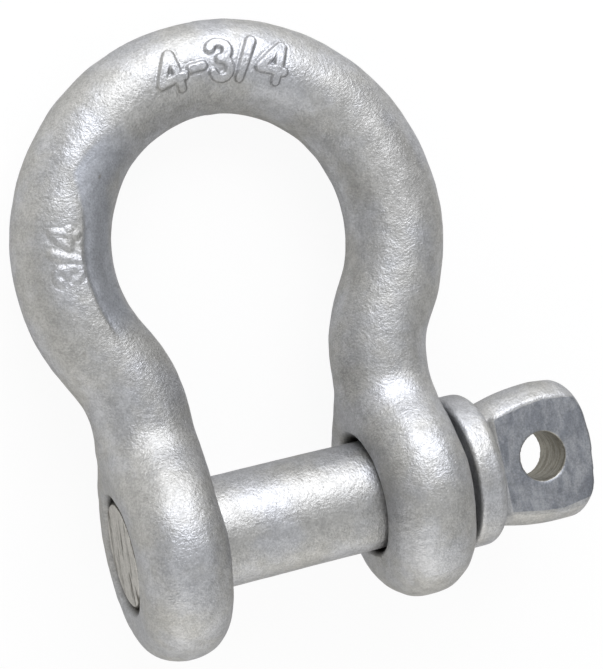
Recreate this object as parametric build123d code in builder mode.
from build123d import *

import os
from math import asin, atan2, cos, degrees, hypot, sin, sqrt

# A screw pin anchor shackle of hot-dip galvanised steel, in millimetres, +Z up.
# It is two forgings. The bow is a round bar bent into an open loop, with an ear at each end.
# The screw pin passes through the plain ear and screws into the threaded one.
# It lies on its back: the rims of both ears and the top of the crown touch the ground at Z = 0.
# X runs along the pin to its head, Y from the pin to the crown, and the origin is on the
# ground under the middle of the whole shackle.

# Bow
crown_bar = 18.5  # bar diameter at the top of the crown, where the bend thins it
side_bar = 19.4  # bar diameter at the widest part of the bow and in the necks
crown_radius = 34.5  # bar's centre line round the crown
crown_height = 56.0  # centre of the crown above the pin's axis
neck_radius = 24.2  # bar's centre line in the reverse bends above the ears

# Ears
jaw = 33.8  # clear gap between the ears
ear_radius = 22.6
ear_thickness = 17.3
ear_rim_radius = 7.8
ear_flare_radius = 10.0  # hollow where a leg widens into its ear, seen from the side
ear_flare_inset = 0.15  # the hollow starts this far inside the bar
leg_foot_inset = 1.0  # the leg tapers until it is this far inside the ear's faces
bore_chamfer = 0.8

# Screw pin
pin_diameter = 22.2
thread_step = 0.25  # the thread's crests are this far inside the plain pin's surface
thread_recess = 0.1  # the sawn tip ends this far inside the threaded ear's outer face
thread_tip_chamfer = 1.6
collar_gap = 1.8  # the pin is done up to this far from the plain ear
shank_spare = 0.7  # left between the plain pin and the threaded ear once that gap is closed
collar_width = 4.8  # the collar stands out this far from the plain pin
collar_thickness = 6.5
collar_rim_radius = 3.1
collar_fillet = 0.8  # under the collar, round the plain pin

# Head of the pin, a bulb pressed flat on two sides
head_step = 3.8  # from the collar's rim down to the head's neck
head_flare = 2.5  # from the neck out to the head's corners
head_length = 19.9  # from the collar to the corners
head_crown = 4.4  # the rounded end stands out this far past the corners
head_corner_radius = 1.5
head_thickness = 12.2  # across the two flats
head_flat_fillet = 3.6  # between each flat and the collar
eye_radius = 5.1
eye_distance = 12.6  # middle of the eye from the collar
eye_chamfer = 0.4

# Radial fits
plain_bore_clearance = 0.8  # pin in the plain ear
thread_clearance = 0.05  # thread in its ear

# A rounded edge takes at most this share of the wall it is on.
rounded_share = 0.48
ear_rim = min(ear_rim_radius, rounded_share * ear_thickness)
collar_rim = min(collar_rim_radius, rounded_share * collar_thickness, rounded_share * 2 * head_step)

# The bow's centre line is three tangent arcs and two straight legs.
half_turn = 180
ear_middle = jaw / 2 + ear_thickness / 2
neck_spread = ear_middle + neck_radius
arc_reach = crown_radius + neck_radius
neck_drop = sqrt(arc_reach**2 - neck_spread**2)
neck_height = crown_height - neck_drop
neck_turn = degrees(atan2(neck_drop, neck_spread))

# Each leg widens into its ear along a hollow arc that touches the ear's rim.
flare_middle = side_bar / 2 - ear_flare_inset + ear_flare_radius
flare_top = sqrt((ear_radius + ear_flare_radius) ** 2 - flare_middle**2)
flare_turn = degrees(atan2(flare_top, flare_middle))

# Places and radii along the pin, from the middle of the jaw
pin_radius = pin_diameter / 2
thread_radius = pin_radius - thread_step
collar_radius = pin_radius + collar_width
neck_of_head = collar_radius - head_step
head_radius = neck_of_head + head_flare
tip = thread_recess - jaw / 2 - ear_thickness
shank_start = collar_gap + shank_spare - jaw / 2
collar_face = jaw / 2 + ear_thickness + collar_gap
head_face = collar_face + collar_thickness
head_corner = head_face + head_length
head_end = head_corner + head_crown

# The bow tips back about the pin until its crown meets the ground.
crown_top = crown_height + crown_radius
lie_angle = asin((ear_radius - crown_bar / 2) / crown_top)
bow_half_width = crown_radius + side_bar / 2
length = ear_radius + crown_top * cos(lie_angle) + crown_bar / 2
bow_plane = Plane(
    origin=((bow_half_width - head_end) / 2, ear_radius - length / 2, ear_radius),
    x_dir=(1, 0, 0),
    z_dir=(0, sin(lie_angle), cos(lie_angle)),
)
side_plane = Plane(bow_plane.origin, x_dir=bow_plane.x_dir, z_dir=-bow_plane.y_dir)
pin_axis = Axis(bow_plane.origin, bow_plane.x_dir)

with BuildLine(bow_plane):
    left_leg = Line((-ear_middle, 0), (-ear_middle, neck_height))
    left_neck = CenterArc((-neck_spread, neck_height), neck_radius, 0, neck_turn)
    crown_turn = half_turn + 2 * neck_turn
    crown = CenterArc((0, crown_height), crown_radius, half_turn + neck_turn, -crown_turn)
    right_neck = CenterArc((neck_spread, neck_height), neck_radius, half_turn - neck_turn, neck_turn)
    right_leg = Line((ear_middle, neck_height), (ear_middle, 0))


def bar_radius(place):
    """The bar is thinnest at the top of the crown, and tapers again where it sinks into an ear."""
    rise = place.Y - crown_height
    if rise > 0:
        return side_bar / 2 - (side_bar - crown_bar) / 2 * (rise / hypot(place.X, rise)) ** 2
    if place.Y < neck_height:
        foot = min(side_bar, ear_thickness) / 2 - leg_foot_inset
        return foot + (side_bar / 2 - foot) * place.Y / neck_height
    return side_bar / 2


# Stations along the bar, each a place and a heading, from inside one ear to inside the other
short_steps = 3
crown_steps = 12
stations = [(left_leg @ 0, left_leg % 0)]
for stretch in (left_leg, left_neck, crown, right_neck, right_leg):
    steps = crown_steps if stretch is crown else short_steps
    stations += [(stretch @ (step / steps), stretch % (step / steps)) for step in range(1, steps + 1)]

with BuildPart() as bow:
    # Ears, each a flared plate with a full round rim
    for side in (-1, 1):
        middle = bow_plane.from_local_coords(Vector(side * ear_middle, 0, 0))
        with BuildSketch(Plane(middle, x_dir=bow_plane.z_dir, z_dir=-bow_plane.x_dir)):
            Circle(ear_radius)
            with BuildLine():
                flare = CenterArc((flare_middle, flare_top), ear_flare_radius, half_turn, flare_turn)
                Polyline(flare @ 1, (0, 0), (0, flare_top), flare @ 0)
            make_face()
            mirror(about=Plane.YZ)
        extrude(amount=ear_thickness / 2, both=True)
    fillet(bow.faces().filter_by(Axis.X).edges().filter_by(GeomType.CIRCLE), ear_rim)

    # Bar, one smooth skin through round sections
    for place, heading in stations:
        with BuildSketch(Plane(place, x_dir=bow_plane.z_dir, z_dir=heading)):
            Circle(bar_radius(bow_plane.to_local_coords(place)))
    loft()

    # Bores with chamfered mouths, tight on the thread's crests in one ear and easy on the pin
    for side, bore_radius in (
        (-1, thread_radius + thread_clearance),
        (1, pin_radius + plain_bore_clearance),
    ):
        mouth_radius = bore_radius + bore_chamfer
        depths = (0, 0, bore_chamfer, ear_thickness - bore_chamfer, ear_thickness, ear_thickness)
        radii = (0, mouth_radius, bore_radius, bore_radius, mouth_radius, 0)
        corners = [(side * (jaw / 2 + depth), radius) for depth, radius in zip(depths, radii)]
        with BuildSketch(bow_plane):
            with BuildLine():
                Polyline(*corners, close=True)
            make_face()
        revolve(axis=pin_axis, mode=Mode.SUBTRACT)
bow.part.label = "bow"

# Corners of the pin's half profile, as place along the pin and radius, each with its rounding
pin_corners = {
    (tip, 0): 0,
    (tip, thread_radius - thread_tip_chamfer): 0,
    (tip + thread_tip_chamfer, thread_radius): 0,
    (shank_start - thread_step, thread_radius): 0,
    (shank_start, pin_radius): 0,
    (collar_face, pin_radius): collar_fillet,
    (collar_face, collar_radius): collar_rim,
    (head_face, collar_radius): collar_rim,
    (head_face, neck_of_head): 0,
}

with BuildPart() as screw_pin:
    with BuildSketch(bow_plane) as half_profile:
        with BuildLine():
            FilletPolyline(*pin_corners, radius=list(pin_corners.values())[1:-1])
            TangentArc((head_corner, head_radius), (head_face, neck_of_head), tangent=(-1, 0))
            TangentArc((head_end, 0), (head_corner, head_radius), tangent=(0, 1))
            Line((head_end, 0), (tip, 0))
        make_face()
        corner = half_profile.vertices().sort_by_distance((head_corner, head_radius))[0]
        fillet(corner, head_corner_radius)
    revolve(axis=pin_axis)

    # Flats on the head
    with BuildSketch(side_plane) as beside_flats:
        with Locations((head_face, head_thickness / 2)):
            Rectangle(2 * head_length, collar_radius, align=(Align.MIN, Align.MIN))
        root = beside_flats.vertices().sort_by_distance((head_face, head_thickness / 2))[0]
        fillet(root, head_flat_fillet)
        mirror(about=Plane.XZ)
    extrude(amount=collar_radius, both=True, mode=Mode.SUBTRACT)

    # Eye through the flats
    with BuildSketch(bow_plane):
        with Locations((head_face + eye_distance, 0)):
            Circle(eye_radius)
    extrude(amount=head_thickness, both=True, mode=Mode.SUBTRACT)
    eye_wall = screw_pin.faces(Select.LAST).filter_by(GeomType.CYLINDER)
    chamfer(eye_wall.edges().filter_by(GeomType.CIRCLE), eye_chamfer)
screw_pin.part.label = "screw_pin"

os.makedirs("parts", exist_ok=True)
for piece in (bow, screw_pin):
    export_step(piece.part, f"parts/{piece.part.label}.step")
